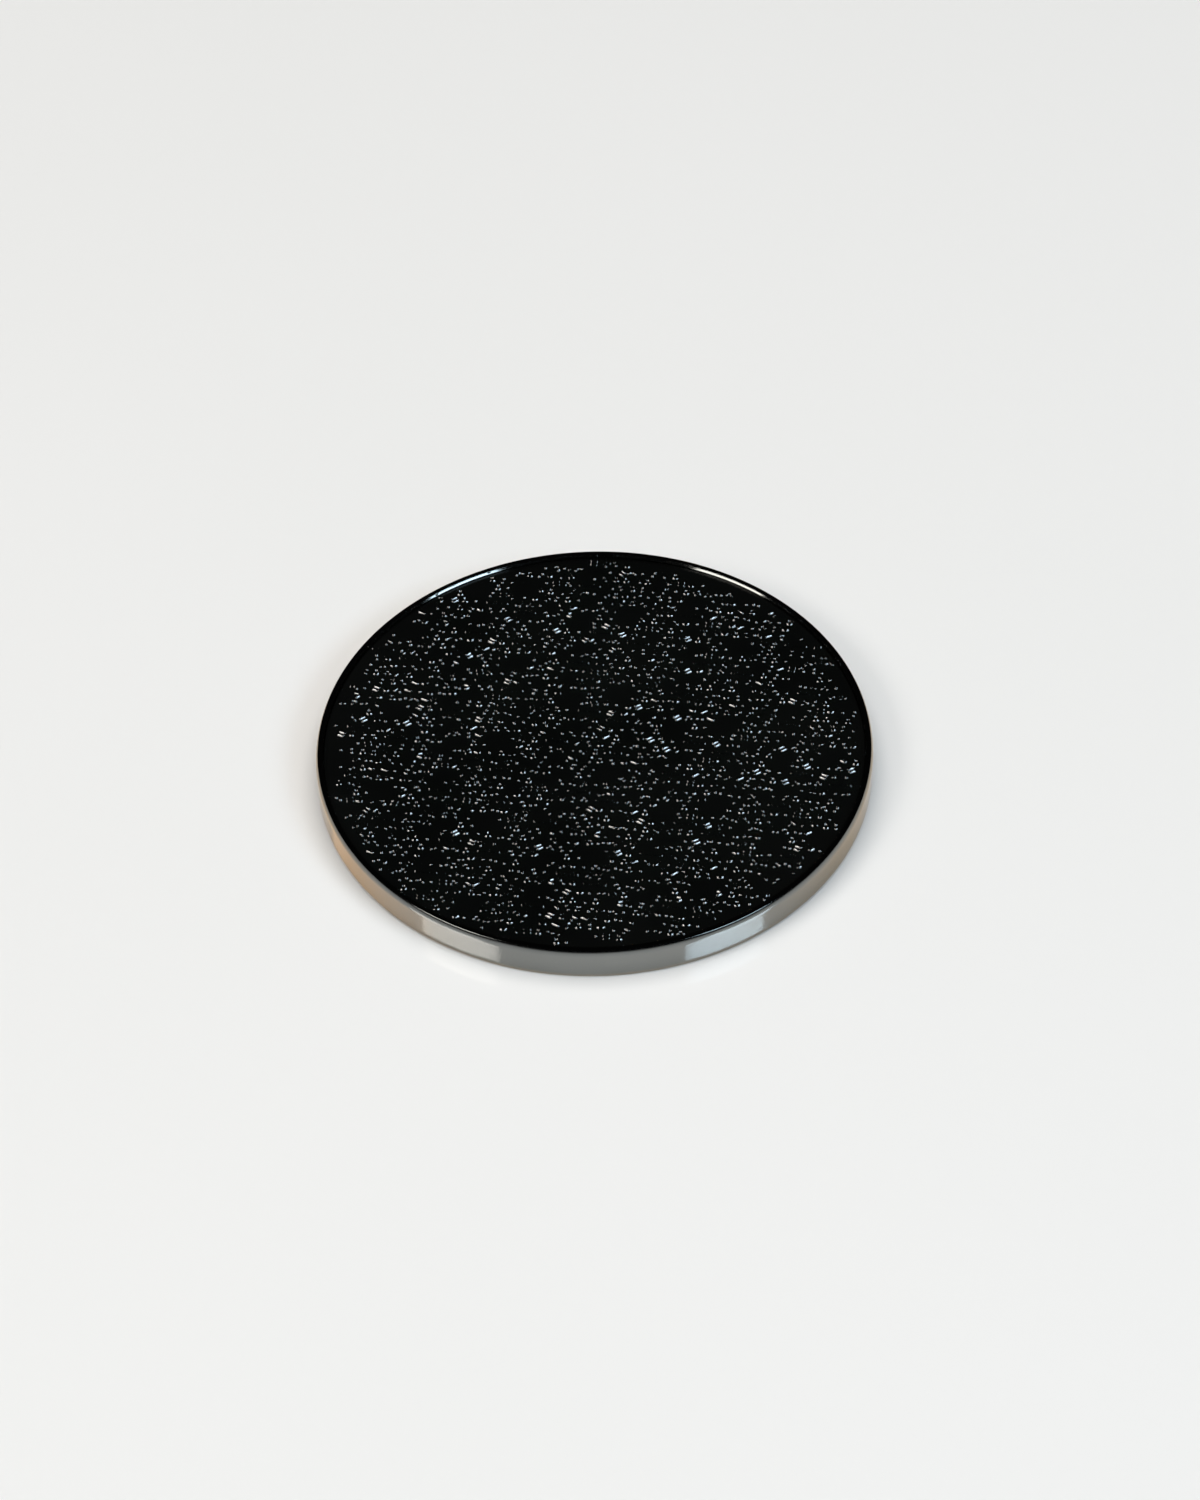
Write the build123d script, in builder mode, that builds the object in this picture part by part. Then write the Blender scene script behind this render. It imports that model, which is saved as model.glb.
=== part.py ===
from build123d import *

import os
from math import cos, hypot, radians, sin

# A dealer button: a turned metal disc with a shallow recess in each side. A glossy black face with a
# fine raised relief is bonded into each recess, just below a thin metal lip that guards it.
# Millimetres, +Z up. The origin is the centre of the face that the button rests on.

# The metal body
BODY_DIAMETER = 50.0
BODY_THICKNESS = 3.3
SHOULDER_RADIUS = 1.20  # the wall rounds over towards each side
SHOULDER_ANGLE = 30.0  # degrees that a shoulder turns through before its corner
CORNER_RADIUS = 0.10
RECESS_DIAMETER = 48.7
RECESS_DEPTH = 0.95
LIP_BREAK = 0.05  # chamfer on the recess mouth

# The bond films and the faces
BOND_DIAMETER = 48.2
BOND_THICKNESS = 0.10
FACE_CLEARANCE = 0.05  # radial gap between a face and the recess wall
FACE_THICKNESS = 0.46  # of the plate, without its relief
FACE_EDGE_BREAK = 0.05
RELIEF_HEIGHT = 0.10
RELIEF_ROOT = 0.10  # how far the marks reach down into the plate
FIELD_DIAMETER = 47.5  # the middles of the marks stay inside this circle

# The relief: small marks in rows of square cells. A tile of cells repeats, each column of tiles lower
# than the column to its left, and every row is pushed along by its own part of a cell.
CELL = 1.0
TILE_DROP = 3  # cells from one column of tiles to the next
ROW_PUSH = 0.38  # cells from one row to the next, of which only the part over a whole cell counts
GRID_TURN = -8.0  # degrees, the whole grid in the face
STROKE = 0.25  # width of every line in the relief
DOT_RADIUS = 0.16
DOT_SPACING = 0.47
RING_RADIUS = 0.265  # to the middle of the stroke
HOOK_RADIUS = 0.25
HOOK_SWEEP = 215.0
BOW_RADIUS = 0.365
BOW_SWEEP = 120.0
BOW_RISE = 0.275  # of the bow's centre over the middle of its cell
DASH_LENGTH = 0.79
LONG_DASH_LENGTH = 2.08
VEE_WIDTH = 0.515  # between the middles of its two ends
VEE_DEPTH = 0.515
VEE_CORNER = 0.14
PAIR_LENGTH = 0.70
PAIR_SPACING = 0.385
SHIFT = 0.05  # the most that a mark stands off the middle of its cell

# One tile of the relief, a letter for each cell: . dot, : two dots, o ring, c hook, u bow, - dash,
# = two dashes, v vee, l long dash, and a space for a plain cell. A long dash reaches over the plain
# cell on either side of it.
TILE = (
    "c:-u.o=v:c",
    "-o v=c. l ",
    "u.:-o  :=v",
    " l c:v  o.",
    "=v. u-=c:-",
    ".c=:o. v-u",
    "  vo-:u.=c",
    "  .=c l -:",
    "o:u-v .:oc",
    "v-.c:u  .=",
)


with BuildLine() as hook:
    CenterArc((0, 0), HOOK_RADIUS, -90 - HOOK_SWEEP / 2, HOOK_SWEEP)

with BuildLine() as bow:
    CenterArc((0, BOW_RISE), BOW_RADIUS, -90 - BOW_SWEEP / 2, BOW_SWEEP)

with BuildLine() as vee:
    FilletPolyline(
        (-VEE_WIDTH / 2, VEE_DEPTH / 2),
        (0, -VEE_DEPTH / 2),
        (VEE_WIDTH / 2, VEE_DEPTH / 2),
        radius=VEE_CORNER,
    )


def is_inside_field(x, y, letter):
    """True if a mark centred here is inside the relief's circle, with the cells that it reaches over."""
    reach = (LONG_DASH_LENGTH - CELL) / 2 if letter == "l" else 0
    return hypot(x, y) + reach <= FIELD_DIAMETER / 2


def mark_places(letter):
    """The place and turn of every mark of one kind, in the plane of a face."""
    tile_cells = len(TILE)
    cells_out = int(FIELD_DIAMETER / 2 / CELL) + 2
    places = []
    for column in range(-cells_out, cells_out):
        for row in range(-cells_out, cells_out):
            tile_column, across = divmod(column, tile_cells)
            if TILE[(row + TILE_DROP * tile_column) % tile_cells][across] != letter:
                continue
            turn = 0 if letter == "l" else (67 * column + 41 * row + 23 * column * row) % 360
            x = (column + 0.5 + ROW_PUSH * row % 1) * CELL + SHIFT * sin(3 * column + row)
            y = (row + 0.5) * CELL + SHIFT * sin(column - 2 * row)
            if is_inside_field(x, y, letter):
                centre = Vector(x, y).rotate(Axis.Z, GRID_TURN)
                places.append(Location(centre, (0, 0, turn + GRID_TURN)))
    return places


def draw_marks():
    """Draws the relief's marks in the open sketch, one kind at a time."""
    with Locations(*mark_places(".")):
        Circle(DOT_RADIUS)
    with Locations(*mark_places(":")):
        with GridLocations(DOT_SPACING, 0, 2, 1):
            Circle(DOT_RADIUS)
    with Locations(*mark_places("o")):
        Circle(RING_RADIUS + STROKE / 2)
    with Locations(*mark_places("o")):
        Circle(RING_RADIUS - STROKE / 2, mode=Mode.SUBTRACT)
    for letter, centre_line in (("c", hook), ("u", bow), ("v", vee)):
        with Locations(*mark_places(letter)):
            SlotArc(centre_line.wire(), STROKE)
    with Locations(*mark_places("-")):
        SlotOverall(DASH_LENGTH, STROKE)
    with Locations(*mark_places("l")):
        SlotOverall(LONG_DASH_LENGTH, STROKE)
    with Locations(*mark_places("=")):
        with GridLocations(0, PAIR_SPACING, 1, 2):
            SlotOverall(PAIR_LENGTH, STROKE)


def embossed_face(seat):
    """A black face on the plane that it is bonded to, with its relief outwards."""
    with BuildPart() as face:
        with BuildSketch(seat):
            Circle(RECESS_DIAMETER / 2 - FACE_CLEARANCE)
        extrude(amount=FACE_THICKNESS)
        chamfer(face.edges(), FACE_EDGE_BREAK)
        with BuildSketch(seat.offset(FACE_THICKNESS - RELIEF_ROOT)):
            draw_marks()
        extrude(amount=RELIEF_ROOT + RELIEF_HEIGHT)
    return face


def bond_film(seat):
    """The film of adhesive on a recess floor."""
    with BuildPart() as film:
        with BuildSketch(seat):
            Circle(BOND_DIAMETER / 2)
        extrude(amount=BOND_THICKNESS)
    return film


os.makedirs("parts", exist_ok=True)

# The floors of the two recesses, each looking out of its recess
upper_floor = Plane.XY.offset(BODY_THICKNESS - RECESS_DEPTH)
lower_floor = Plane(origin=(0, 0, RECESS_DEPTH), x_dir=(1, 0, 0), z_dir=(0, 0, -1))

# The body's half section. Each half of the wall takes in a corner and a shoulder.
shoulder_rise = SHOULDER_RADIUS * sin(radians(SHOULDER_ANGLE))
corner_rise = CORNER_RADIUS * (1 - sin(radians(SHOULDER_ANGLE)))
wall_height = BODY_THICKNESS - 2 * (shoulder_rise + corner_rise)
shoulder_reach = SHOULDER_RADIUS * (1 - cos(radians(SHOULDER_ANGLE)))
corner_reach = CORNER_RADIUS * cos(radians(SHOULDER_ANGLE))
flat_radius = BODY_DIAMETER / 2 - shoulder_reach - corner_reach

with BuildPart() as metal_body:
    with BuildSketch(Plane.XZ):
        with BuildLine():
            underside = Line((0, 0), (flat_radius, 0))
            low_corner = JernArc(underside @ 1, underside % 1, CORNER_RADIUS, 90 - SHOULDER_ANGLE)
            low_shoulder = JernArc(low_corner @ 1, low_corner % 1, SHOULDER_RADIUS, SHOULDER_ANGLE)
            wall = Line(low_shoulder @ 1, low_shoulder @ 1 + (0, wall_height))
            high_shoulder = JernArc(wall @ 1, wall % 1, SHOULDER_RADIUS, SHOULDER_ANGLE)
            high_corner = JernArc(high_shoulder @ 1, high_shoulder % 1, CORNER_RADIUS, 90 - SHOULDER_ANGLE)
            Polyline(high_corner @ 1, (0, BODY_THICKNESS), (0, 0))
        make_face()
    revolve(axis=Axis.Z)
    for recess_floor in (upper_floor, lower_floor):
        with BuildSketch(recess_floor):
            Circle(RECESS_DIAMETER / 2)
        extrude(amount=RECESS_DEPTH, mode=Mode.SUBTRACT)
    mouths = metal_body.edges().filter_by(GeomType.CIRCLE).filter_by(
        lambda edge: abs(edge.radius - RECESS_DIAMETER / 2) < LIP_BREAK
    )
    chamfer([mouths.sort_by(Axis.Z)[0], mouths.sort_by(Axis.Z)[-1]], LIP_BREAK)
metal_body.part.label = "metal_body"
export_step(metal_body.part, "parts/metal_body.step")

for name, recess_floor in (("upper", upper_floor), ("lower", lower_floor)):
    film = bond_film(recess_floor)
    film.part.label = f"{name}_bond_film"
    export_step(film.part, f"parts/{name}_bond_film.step")
    face = embossed_face(recess_floor.offset(BOND_THICKNESS))
    face.part.label = f"{name}_face"
    export_step(face.part, f"parts/{name}_face.step")
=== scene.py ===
from math import atan2, ceil, cos, hypot, pi, radians, sin

import bpy
from mathutils import Matrix, Vector
from mathutils.geometry import delaunay_2d_cdt


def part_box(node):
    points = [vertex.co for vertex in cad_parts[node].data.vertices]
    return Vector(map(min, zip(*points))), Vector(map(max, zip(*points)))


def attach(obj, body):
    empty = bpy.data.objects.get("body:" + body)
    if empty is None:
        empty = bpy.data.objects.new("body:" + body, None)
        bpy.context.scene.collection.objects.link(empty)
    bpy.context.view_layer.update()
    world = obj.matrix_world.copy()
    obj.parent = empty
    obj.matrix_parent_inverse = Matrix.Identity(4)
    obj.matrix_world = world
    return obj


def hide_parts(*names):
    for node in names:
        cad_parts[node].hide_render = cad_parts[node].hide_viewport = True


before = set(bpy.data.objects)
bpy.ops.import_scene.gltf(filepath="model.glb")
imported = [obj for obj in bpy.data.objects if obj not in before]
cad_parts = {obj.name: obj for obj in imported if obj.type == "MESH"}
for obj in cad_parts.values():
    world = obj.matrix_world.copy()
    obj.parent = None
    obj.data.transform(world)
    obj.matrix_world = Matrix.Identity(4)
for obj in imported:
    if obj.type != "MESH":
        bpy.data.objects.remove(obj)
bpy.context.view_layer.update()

# Shapes are worked out in millimetres, in the frame's axes, and written to meshes in metres.
MM = 0.001

# ---------------------------------------------------------------- sizes read from the frame

body_low, body_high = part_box("metal_body")
upper_low, upper_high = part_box("upper_face")
BODY_RADIUS = body_high.x / MM
BODY_THICKNESS = (body_high.z - body_low.z) / MM
FACE_RADIUS = upper_high.x / MM
SEAT_HEIGHT = upper_low.z / MM  # the underside of the upper face
RELIEF_TOP = (upper_high.z - upper_low.z) / MM
BOND_THICKNESS = (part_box("upper_bond_film")[1].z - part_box("upper_bond_film")[0].z) / MM

# ---------------------------------------------------------------- sizes shared with part.py

SHOULDER_RADIUS = 1.20
SHOULDER_ANGLE = radians(30)
CORNER_RADIUS = 0.10
FACE_CLEARANCE = 0.05
LIP_BREAK = 0.05
FACE_EDGE_BREAK = 0.05
RELIEF_HEIGHT = 0.10
FIELD_RADIUS = 23.75
CELL = 1.0
TILE_DROP = 3
ROW_PUSH = 0.38
GRID_TURN = radians(-8)
STROKE = 0.25
DOT_RADIUS = 0.16
DOT_SPACING = 0.47
RING_RADIUS = 0.265
HOOK_RADIUS = 0.25
HOOK_SWEEP = radians(215)
BOW_RADIUS = 0.365
BOW_SWEEP = radians(120)
BOW_RISE = 0.275
DASH_LENGTH = 0.79
LONG_DASH_LENGTH = 2.08
VEE_WIDTH = 0.515
VEE_DEPTH = 0.515
VEE_CORNER = 0.14
PAIR_LENGTH = 0.70
PAIR_SPACING = 0.385
SHIFT = 0.05

# One tile of the relief, a letter for each cell: . dot, : two dots, o ring, c hook, u bow, - dash,
# = two dashes, v vee, l long dash, and a space for a plain cell.
TILE = (
    "c:-u.o=v:c",
    "-o v=c. l ",
    "u.:-o  :=v",
    " l c:v  o.",
    "=v. u-=c:-",
    ".c=:o. v-u",
    "  vo-:u.=c",
    "  .=c l -:",
    "o:u-v .:oc",
    "v-.c:u  .=",
)

# ---------------------------------------------------------------- fineness of the meshes

LATHE_STEPS = 512
SHOULDER_STEPS = 14
CORNER_STEPS = 6
LIP_STEPS = 5
FACE_EDGE_STEPS = 300
CAP_STEPS = 7  # over the half circle at a stroke's end
ARC_STEP = radians(24)  # the most that a curved stroke turns between two stations
MARK_ROUNDING = 0.065  # radius of the rounded upper edge of a mark
MARK_ANGLES = [radians(a) for a in (0, 30, 60, 90)]  # up that rounding
SUPPORT = 0.04  # of an edge loop from the rounding beside it


# ---------------------------------------------------------------- mesh building


class Shell:
    """The points and faces of one mesh, in millimetres."""

    def __init__(self):
        self.points = []
        self.faces = []
        self.flat_faces = set()

    def add_loop(self, points):
        start = len(self.points)
        self.points.extend(points)
        return list(range(start, start + len(points)))

    def bridge(self, outer, inner):
        """Quads from one closed loop in to the next, wound to face the side that both turn about."""
        for k in range(len(outer)):
            after = (k + 1) % len(outer)
            self.faces.append((outer[k], outer[after], inner[after], inner[k]))

    def to_object(self, name, place=lambda point: point):
        mesh = bpy.data.meshes.new(name)
        mesh.from_pydata([Vector(place(p)) * MM for p in self.points], [], self.faces)
        for polygon in mesh.polygons:
            polygon.use_smooth = polygon.index not in self.flat_faces
        mesh.validate()
        piece = bpy.data.objects.new(name, mesh)
        bpy.context.scene.collection.objects.link(piece)
        return piece


def circle_points(radius, height, steps):
    return [
        (radius * cos(2 * pi * k / steps), radius * sin(2 * pi * k / steps), height)
        for k in range(steps)
    ]


def turned_solid(profile, steps):
    """A closed solid turned about Z from a half section, whose first and last points are on the axis."""
    shell = Shell()
    bottom = shell.add_loop([(0, 0, profile[0][1])])[0]
    loops = [shell.add_loop(circle_points(radius, height, steps)) for radius, height in profile[1:-1]]
    top = shell.add_loop([(0, 0, profile[-1][1])])[0]
    for k in range(steps):
        after = (k + 1) % steps
        shell.faces.append((loops[0][after], loops[0][k], bottom))
        shell.faces.append((loops[-1][k], loops[-1][after], top))
    for lower, upper in zip(loops, loops[1:]):
        shell.bridge(lower, upper)
    return shell


# ---------------------------------------------------------------- the metal body


def body_profile():
    """The body's half section, from the middle of the lower recess floor round to the upper one."""
    recess_radius = FACE_RADIUS + FACE_CLEARANCE
    floor_height = BODY_THICKNESS - (SEAT_HEIGHT - BOND_THICKNESS)
    lower_half = [
        (0, floor_height),
        (recess_radius - SUPPORT, floor_height),
        (recess_radius, floor_height),
        (recess_radius, floor_height - SUPPORT),
    ]
    for k in range(LIP_STEPS + 1):  # the broken inner edge of the lip
        turn = pi / 2 * k / LIP_STEPS
        lower_half.append((recess_radius + LIP_BREAK * (1 - cos(turn)), LIP_BREAK * (1 - sin(turn))))
    shoulder_foot = BODY_RADIUS - SHOULDER_RADIUS * (1 - cos(SHOULDER_ANGLE))
    corner_centre = shoulder_foot - CORNER_RADIUS * cos(SHOULDER_ANGLE)
    lower_half.append((corner_centre - SUPPORT, 0))
    for k in range(CORNER_STEPS + 1):
        turn = pi / 2 - (pi / 2 - SHOULDER_ANGLE) * k / CORNER_STEPS
        height = CORNER_RADIUS * (1 - sin(turn))
        lower_half.append((corner_centre + CORNER_RADIUS * cos(turn), height))
    for k in range(1, SHOULDER_STEPS + 1):
        turn = SHOULDER_ANGLE * (1 - k / SHOULDER_STEPS)
        rise = SHOULDER_RADIUS * (sin(SHOULDER_ANGLE) - sin(turn))
        lower_half.append((BODY_RADIUS - SHOULDER_RADIUS * (1 - cos(turn)), height + rise))
    lower_half.append((BODY_RADIUS, height + rise + SUPPORT))
    upper_half = [(radius, BODY_THICKNESS - height) for radius, height in reversed(lower_half)]
    return lower_half + upper_half


# ---------------------------------------------------------------- the relief


def turned(x, y, angle):
    return x * cos(angle) - y * sin(angle), x * sin(angle) + y * cos(angle)


def arc_spine(radius, sweep, rise=0.0):
    """Stations of (x, y, heading) along an arc that is open at the top."""
    steps = ceil(sweep / ARC_STEP)
    spine = []
    for k in range(steps + 1):
        angle = -pi / 2 + sweep * (k / steps - 0.5)
        spine.append((radius * cos(angle), rise + radius * sin(angle), angle + pi / 2))
    return spine


def bar_spine(length, rise=0.0):
    reach = (length - STROKE) / 2
    return [(-reach, rise, 0.0), (0.0, rise, 0.0), (reach, rise, 0.0)]


def vee_spine():
    """Two straight arms and the arc between them."""
    slope = atan2(VEE_DEPTH, VEE_WIDTH / 2)
    centre_height = -VEE_DEPTH / 2 + VEE_CORNER / cos(slope)
    spine = [(-VEE_WIDTH / 2, VEE_DEPTH / 2, -slope)]
    steps = ceil(2 * slope / ARC_STEP)
    for k in range(steps + 1):
        heading = slope * (2 * k / steps - 1)
        x = VEE_CORNER * sin(heading)
        y = centre_height - VEE_CORNER * cos(heading)
        spine.append((x, y, heading))
    spine.append((VEE_WIDTH / 2, VEE_DEPTH / 2, slope))
    return spine


DOT = [(0.0, 0.0, 0.0)]
STROKES = {  # the spines of each kind of mark, with the half width of its stroke
    ".": [(DOT, DOT_RADIUS)],
    ":": [([(side * DOT_SPACING / 2, 0.0, 0.0)], DOT_RADIUS) for side in (-1, 1)],
    "c": [(arc_spine(HOOK_RADIUS, HOOK_SWEEP), STROKE / 2)],
    "u": [(arc_spine(BOW_RADIUS, BOW_SWEEP, BOW_RISE), STROKE / 2)],
    "-": [(bar_spine(DASH_LENGTH), STROKE / 2)],
    "l": [(bar_spine(LONG_DASH_LENGTH), STROKE / 2)],
    "=": [(bar_spine(PAIR_LENGTH, side * PAIR_SPACING / 2), STROKE / 2) for side in (-1, 1)],
    "v": [(vee_spine(), STROKE / 2)],
}


def mark_places():
    """The kind, centre and turn of every mark inside the relief's circle, as in part.py."""
    tile_cells = len(TILE)
    cells_out = int(FIELD_RADIUS / CELL) + 2
    for column in range(-cells_out, cells_out):
        for row in range(-cells_out, cells_out):
            tile_column, across = divmod(column, tile_cells)
            letter = TILE[(row + TILE_DROP * tile_column) % tile_cells][across]
            x = (column + 0.5 + ROW_PUSH * row % 1) * CELL + SHIFT * sin(3 * column + row)
            y = (row + 0.5) * CELL + SHIFT * sin(column - 2 * row)
            reach = (LONG_DASH_LENGTH - CELL) / 2 if letter == "l" else 0
            if letter == " " or hypot(x, y) + reach > FIELD_RADIUS:
                continue
            turn = 0 if letter == "l" else radians((67 * column + 41 * row + 23 * column * row) % 360)
            yield letter, turned(x, y, GRID_TURN), turn + GRID_TURN


def stroke_loop(spine, half_width):
    """The closed outline round a spine, anticlockwise, with the spine's station that each point is of."""
    outline = []

    def add(station, bearing):
        x, y, _ = spine[station]
        outline.append((x + half_width * cos(bearing), y + half_width * sin(bearing), station))

    last = len(spine) - 1
    for station in range(last + 1):
        add(station, spine[station][2] - pi / 2)
    for k in range(1, CAP_STEPS):
        add(last, spine[last][2] - pi / 2 + pi * k / CAP_STEPS)
    for station in range(last, -1, -1):
        add(station, spine[station][2] + pi / 2)
    for k in range(1, CAP_STEPS):
        add(0, spine[0][2] + pi / 2 + pi * k / CAP_STEPS)
    return outline


def mark_section():
    """The side of a mark: how far each loop is in from the outline, and how high over the ground."""
    wall = RELIEF_HEIGHT - MARK_ROUNDING
    rounding = [(MARK_ROUNDING * (1 - cos(a)), wall + MARK_ROUNDING * sin(a)) for a in MARK_ANGLES]
    return [(0.0, 0.0)] + rounding


def add_mark_loops(shell, outline_at, place, ground):
    """The loops up one side of a mark, given its outline for any distance in."""
    loops = []
    for inset, rise in mark_section():
        loops.append(shell.add_loop([(*place(x, y), ground + rise) for x, y in outline_at(inset)]))
    for outer, inner in zip(loops, loops[1:]):
        if outer is loops[0]:
            shell.flat_faces.update(range(len(shell.faces), len(shell.faces) + len(outer)))
        shell.bridge(outer, inner)
    return loops


def add_stroke(shell, spine, half_width, place, ground):
    """A raised stroke with round ends. Returns its outline on the ground."""
    stations = [station for _, _, station in stroke_loop(spine, half_width)]
    loops = add_mark_loops(
        shell, lambda inset: [(x, y) for x, y, _ in stroke_loop(spine, half_width - inset)], place, ground
    )
    middle = shell.add_loop([(*place(x, y), ground + RELIEF_HEIGHT) for x, y, _ in spine])
    for k, station in enumerate(stations):
        after = (k + 1) % len(stations)
        face = [loops[-1][k], loops[-1][after], middle[stations[after]], middle[station]]
        shell.flat_faces.add(len(shell.faces))
        shell.faces.append(tuple(dict.fromkeys(face)))
    return loops[0]


def add_ring(shell, place, ground):
    """A raised ring. Returns its outer and inner outlines on the ground."""
    sides = []
    for side in (1, -1):

        def outline_at(inset):
            circle = circle_points(RING_RADIUS + side * (STROKE / 2 - inset), 0, 2 * CAP_STEPS)
            return [(x, y) for x, y, _ in circle][::side]

        sides.append(add_mark_loops(shell, outline_at, place, ground))
    outer_loops, inner_loops = sides
    shell.flat_faces.update(range(len(shell.faces), len(shell.faces) + 2 * CAP_STEPS))
    shell.bridge(outer_loops[-1], inner_loops[-1][::-1])
    return outer_loops[0], inner_loops[0]


def embossed_shell():
    """A black face with its relief, closed all round, with its underside at height 0."""
    shell = Shell()
    ground = RELIEF_TOP - RELIEF_HEIGHT
    outlines = []
    for letter, (centre_x, centre_y), turn in mark_places():

        def place(x, y):
            turned_x, turned_y = turned(x, y, turn)
            return centre_x + turned_x, centre_y + turned_y

        if letter == "o":
            outlines.extend(add_ring(shell, place, ground))
            continue
        for spine, half_width in STROKES[letter]:
            outlines.append(add_stroke(shell, spine, half_width, place, ground))

    edge = [(FACE_RADIUS - FACE_EDGE_BREAK, ground), (FACE_RADIUS, ground - FACE_EDGE_BREAK)]
    edge += [(FACE_RADIUS, FACE_EDGE_BREAK), (FACE_RADIUS - FACE_EDGE_BREAK, 0.0)]
    loops = [shell.add_loop(circle_points(r, height, FACE_EDGE_STEPS)) for r, height in edge]
    for upper, lower in zip(loops, loops[1:]):
        shell.flat_faces.update(range(len(shell.faces), len(shell.faces) + FACE_EDGE_STEPS))
        shell.bridge(lower, upper)
    shell.flat_faces.add(len(shell.faces))
    shell.faces.append(tuple(reversed(loops[-1])))
    add_ground(shell, loops[0], outlines)
    return shell


def add_ground(shell, rim, outlines):
    """The flat ground between the marks: triangles inside the rim and outside every raised stroke."""
    borders = [rim] + outlines
    corners = [index for border in borders for index in border]
    flat = [Vector(shell.points[index][:2]) for index in corners]
    rings = []
    start = 0
    for border in borders:
        rings.append(list(range(start, start + len(border))))
        start += len(border)
    made = delaunay_2d_cdt(flat, [], rings, 1, 1e-6, True)
    triangles, point_sources, border_sources = made[2], made[3], made[5]
    for triangle, inside in zip(triangles, border_sources):
        if len(inside) % 2 == 1:
            shell.flat_faces.add(len(shell.faces))
            shell.faces.append(tuple(corners[point_sources[k][0]] for k in triangle))


# ---------------------------------------------------------------- materials


def new_material(name):
    """A node material, with its tree and its Principled BSDF."""
    material = bpy.data.materials.new(name)
    material.use_nodes = True
    tree = material.node_tree
    return material, tree, tree.nodes["Principled BSDF"]


def add_noise(tree, scale, detail=3.0, stretch=(1, 1, 1)):
    """Noise in the object's own coordinates, which are metres. Returns its 0 to 1 output."""
    coordinates = tree.nodes.new("ShaderNodeTexCoord")
    mapping = tree.nodes.new("ShaderNodeMapping")
    mapping.inputs["Scale"].default_value = stretch
    noise = tree.nodes.new("ShaderNodeTexNoise")
    noise.inputs["Scale"].default_value = scale
    noise.inputs["Detail"].default_value = detail
    tree.links.new(coordinates.outputs["Object"], mapping.inputs["Vector"])
    tree.links.new(mapping.outputs["Vector"], noise.inputs["Vector"])
    return noise.outputs["Fac"]


def spread_over(tree, value, low, high, start=0.3, end=0.7):
    """Maps a noise value, from start to end, onto a range."""
    spread = tree.nodes.new("ShaderNodeMapRange")
    spread.inputs["From Min"].default_value = start
    spread.inputs["From Max"].default_value = end
    spread.inputs["To Min"].default_value = low
    spread.inputs["To Max"].default_value = high
    tree.links.new(value, spread.inputs["Value"])
    return spread.outputs["Result"]


def tint_between(tree, value, dark, light):
    ramp = tree.nodes.new("ShaderNodeValToRGB")
    ramp.color_ramp.elements[0].position = 0.35
    ramp.color_ramp.elements[0].color = (*dark, 1)
    ramp.color_ramp.elements[1].position = 0.65
    ramp.color_ramp.elements[1].color = (*light, 1)
    tree.links.new(value, ramp.inputs["Fac"])
    return ramp.outputs["Color"]


def black_gloss():
    """Deep black lacquer: a mirror gloss with faint smudges, and black that is hardly uneven."""
    material, tree, shader = new_material("black_gloss")
    cloud = add_noise(tree, 90)
    colour = tint_between(tree, cloud, (0.0016, 0.0019, 0.0018), (0.0028, 0.0032, 0.0030))
    tree.links.new(colour, shader.inputs["Base Color"])
    smudge = add_noise(tree, 260, detail=6)
    tree.links.new(spread_over(tree, smudge, 0.03, 0.06), shader.inputs["Roughness"])
    shader.inputs["IOR"].default_value = 2.4
    return material


def dark_metal():
    """Nickel-grey metal, turned round the axis and polished, so its highlights spread along Z."""
    material, tree, shader = new_material("dark_metal")
    shader.inputs["Metallic"].default_value = 1.0
    shader.inputs["Specular Tint"].default_value = (1.0, 0.70, 0.40, 1)
    shader.inputs["Coat Weight"].default_value = 1.0
    shader.inputs["Coat Roughness"].default_value = 0.05
    shader.inputs["Anisotropic"].default_value = 0.6
    shader.inputs["Anisotropic Rotation"].default_value = 0.25
    cloud = add_noise(tree, 120)
    colour = tint_between(tree, cloud, (0.165, 0.175, 0.17), (0.185, 0.195, 0.19))
    tree.links.new(colour, shader.inputs["Base Color"])
    turning = add_noise(tree, 60, detail=4, stretch=(1, 1, 140))
    tree.links.new(spread_over(tree, turning, 0.10, 0.14), shader.inputs["Roughness"])
    bump = tree.nodes.new("ShaderNodeBump")
    bump.inputs["Strength"].default_value = 0.05
    bump.inputs["Distance"].default_value = 0.00002
    tree.links.new(turning, bump.inputs["Height"])
    tree.links.new(bump.outputs["Normal"], shader.inputs["Normal"])
    tangent = tree.nodes.new("ShaderNodeTangent")
    tangent.direction_type = "RADIAL"
    tangent.axis = "Z"
    tree.links.new(tangent.outputs["Tangent"], shader.inputs["Tangent"])
    return material


def adhesive():
    """Clear film gone slightly yellow, seen only if the button is taken apart."""
    material, tree, shader = new_material("adhesive")
    cloud = add_noise(tree, 400, detail=5)
    colour = tint_between(tree, cloud, (0.56, 0.54, 0.46), (0.66, 0.64, 0.56))
    tree.links.new(colour, shader.inputs["Base Color"])
    tree.links.new(spread_over(tree, cloud, 0.35, 0.55), shader.inputs["Roughness"])
    return material


def white_sheet():
    """The smooth white sheet that the button lies on, with a slight gloss."""
    material, tree, shader = new_material("white_sheet")
    cloud = add_noise(tree, 9, detail=2)
    colour = tint_between(tree, cloud, (0.875, 0.885, 0.87), (0.885, 0.893, 0.88))
    tree.links.new(colour, shader.inputs["Base Color"])
    shader.inputs["Roughness"].default_value = 0.06
    return material


# ---------------------------------------------------------------- the pieces

black = black_gloss()
metal = dark_metal()

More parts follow.
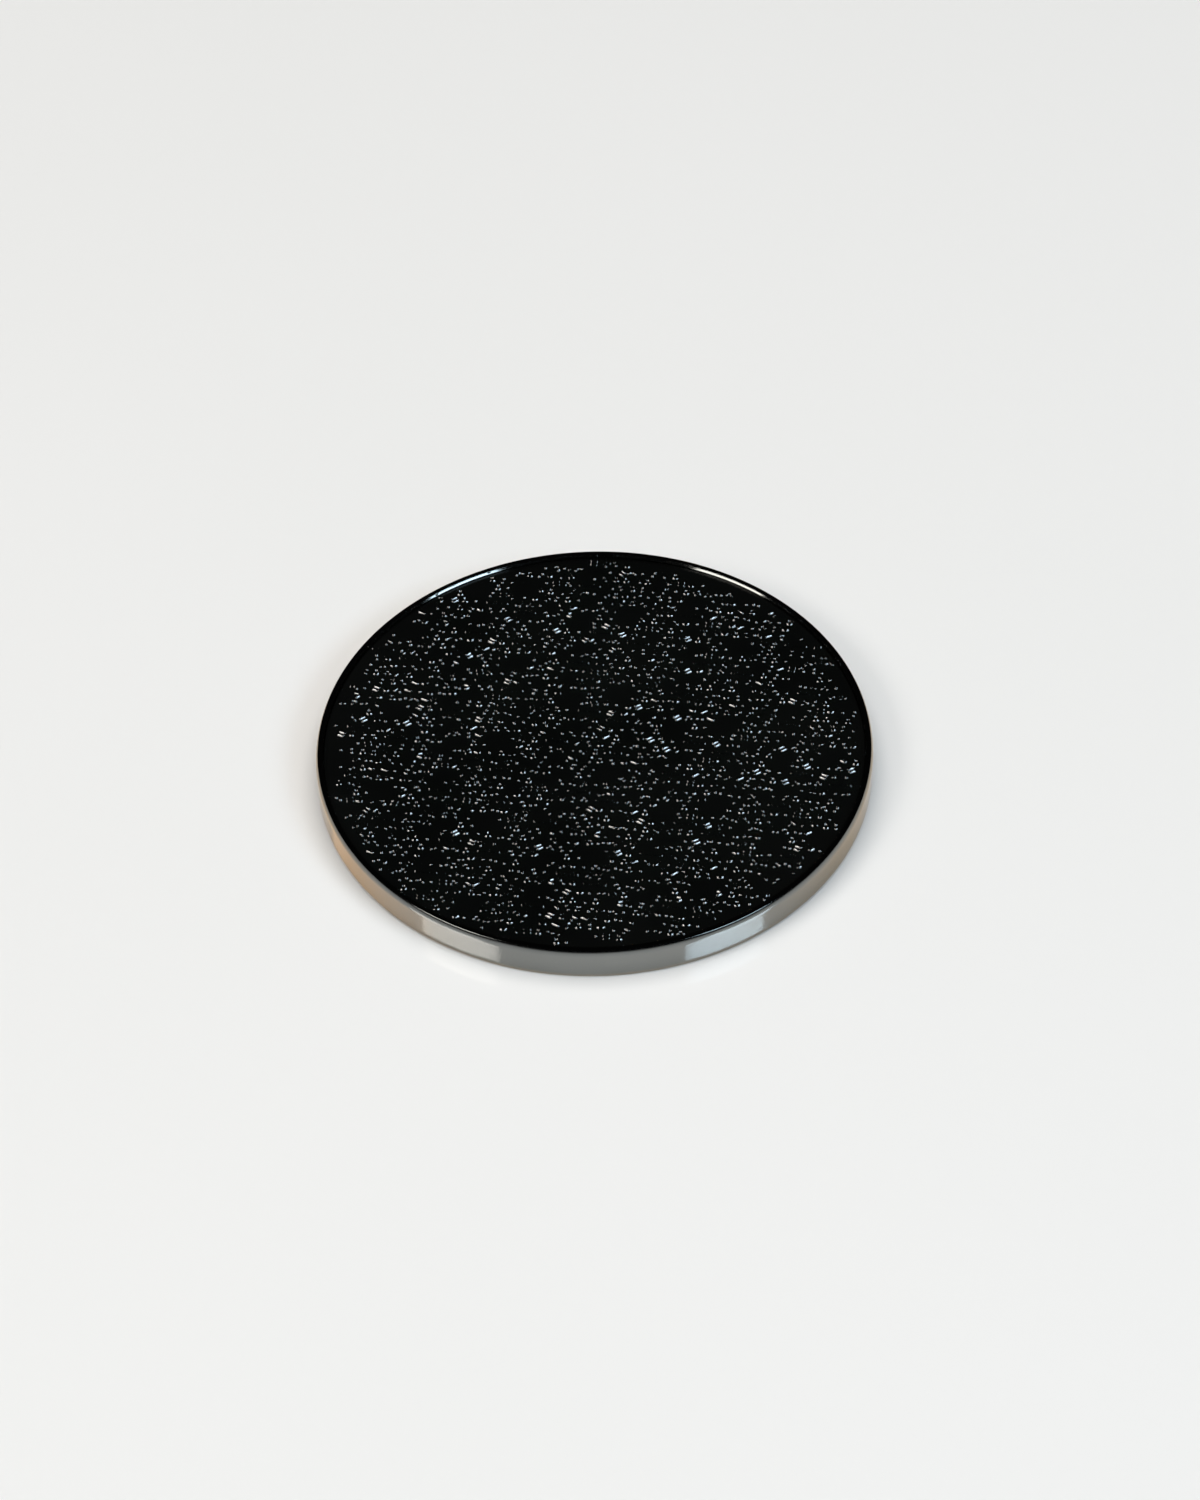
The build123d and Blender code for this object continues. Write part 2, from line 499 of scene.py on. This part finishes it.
body = turned_solid(body_profile(), LATHE_STEPS).to_object("metal_body_turned")
body.data.materials.append(metal)
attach(body, "root")
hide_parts("metal_body")

lower_seat = BODY_THICKNESS - SEAT_HEIGHT
face_places = {
    "upper": lambda point: (point[0], point[1], SEAT_HEIGHT + point[2]),
    "lower": lambda point: (point[0], -point[1], lower_seat - point[2]),
}
embossed = embossed_shell()
faces = []
for side, place_on_side in face_places.items():
    face = embossed.to_object(f"{side}_face_embossed", place_on_side)
    faces.append(face)
    face.data.materials.append(black)
    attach(face, "root")
    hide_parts(f"{side}_face")

film = adhesive()
for side in face_places:
    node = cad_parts[f"{side}_bond_film"]
    node.data.materials.clear()
    node.data.materials.append(film)

# ---------------------------------------------------------------- floor, light and camera


def direction(azimuth, elevation):
    """A unit vector from the button. Azimuth 0 is towards the camera, and positive to its right."""
    a, e = radians(azimuth), radians(elevation)
    return Vector((sin(a) * cos(e), -cos(a) * cos(e), sin(e)))


def add_softbox(name, azimuth, elevation, distance, size, radiance, colour, gloss=True, diffuse=True):
    """A rectangular light that looks at the button, seen by gloss, by diffuse surfaces or by both."""
    light = bpy.data.lights.new(name, "AREA")
    light.shape = "RECTANGLE"
    light.size, light.size_y = size
    light.energy = radiance * pi * size[0] * size[1]
    light.color = colour
    lamp = bpy.data.objects.new(name, light)
    lamp.location = direction(azimuth, elevation) * distance
    lamp.rotation_euler = lamp.location.to_track_quat("Z", "Y").to_euler()
    lamp.visible_glossy = gloss
    lamp.visible_diffuse = diffuse
    bpy.context.scene.collection.objects.link(lamp)
    return lamp


def shine_only_on(lamp, receivers):
    """Lets a lamp light these objects and no others."""
    lit = bpy.data.collections.new(f"lit_by_{lamp.name}")
    for receiver in receivers:
        lit.objects.link(receiver)
    lamp.light_linking.receiver_collection = lit


def add_floor(half_side):
    corners = ((-1, -1), (1, -1), (1, 1), (-1, 1))
    mesh = bpy.data.meshes.new("floor")
    mesh.from_pydata([(x * half_side, y * half_side, 0) for x, y in corners], [], [(0, 1, 2, 3)])
    mesh.materials.append(white_sheet())
    floor = bpy.data.objects.new("floor", mesh)
    bpy.context.scene.collection.objects.link(floor)
    return floor


FLOOR_HALF_SIDE = 1.5  # metres, like every length below
floor = add_floor(FLOOR_HALF_SIDE)

# Two windows, each with its azimuth, the radiance of its extra shine and its colour. The extra shine
# is kept off the mirror-like body, whose glare on the floor would be too strong.
WINDOWS = {"left": (-60, 18, (1.0, 0.95, 0.90)), "right": (53, 26, (0.68, 0.85, 1.0))}
WINDOW_ELEVATION = 40
WINDOW_DISTANCE = 1.05
SHINE_DISTANCE = 1.00  # a little in front of its window, so that the two never coincide
WINDOW_SIZE = (0.43, 0.35)
WINDOW_RADIANCE = 7
for side, (azimuth, shine, colour) in WINDOWS.items():
    window = (azimuth, WINDOW_ELEVATION, WINDOW_DISTANCE, WINDOW_SIZE)
    in_front = (azimuth, WINDOW_ELEVATION, SHINE_DISTANCE, WINDOW_SIZE)
    add_softbox(f"window_{side}", *window, WINDOW_RADIANCE, colour)
    shine_only_on(add_softbox(f"shine_{side}", *in_front, shine, colour, diffuse=False), [floor, *faces])

# A warm card that the wall's left side picks up from the floor, and the room's light from above
card = add_softbox("warm_card", -108, 46, 1.0, (0.80, 0.30), 6.5, (1.0, 0.62, 0.32), diffuse=False)
shine_only_on(card, [floor])
add_softbox("ceiling", 0, 90, 1.5, (1.8, 1.8), 2.26, (1.0, 0.96, 0.935), gloss=False)

world = bpy.data.worlds.new("dark_room")
bpy.context.scene.world = world
world.use_nodes = True
world.node_tree.nodes["Background"].inputs["Color"].default_value = (0.004, 0.004, 0.004, 1)
bpy.context.scene.view_settings.view_transform = "Standard"

# The camera looks down at 46 degrees, rolled a little, with the button left of and below the middle.
CAMERA_DISTANCE = 0.5134
CAMERA_ELEVATION = 46.39
CAMERA_ROLL = radians(-1.70)
FOCAL_LENGTH = 136.8
SENSOR_HEIGHT = 36.0
PICTURE_HEIGHT = 1500
BUTTON_OFFSET = Vector((-5.0, -19.8))  # of the frame's origin from the picture's middle, up and right

camera_data = bpy.data.cameras.new("camera")
camera_data.lens = FOCAL_LENGTH
camera_data.sensor_width = SENSOR_HEIGHT
camera_data.clip_start = 0.01
camera = bpy.data.objects.new("camera", camera_data)
bpy.context.scene.collection.objects.link(camera)
eye = direction(0, CAMERA_ELEVATION) * CAMERA_DISTANCE
facing = eye.to_track_quat("Z", "Y").to_matrix() @ Matrix.Rotation(CAMERA_ROLL, 3, "Z")
per_pixel = SENSOR_HEIGHT / FOCAL_LENGTH / PICTURE_HEIGHT * CAMERA_DISTANCE
aim = facing @ Vector((-BUTTON_OFFSET.x, -BUTTON_OFFSET.y, 0)) * per_pixel
away = eye - aim
camera.location = eye
camera.rotation_euler = (
    away.to_track_quat("Z", "Y").to_matrix() @ Matrix.Rotation(CAMERA_ROLL, 3, "Z")
).to_euler()
bpy.context.scene.camera = camera
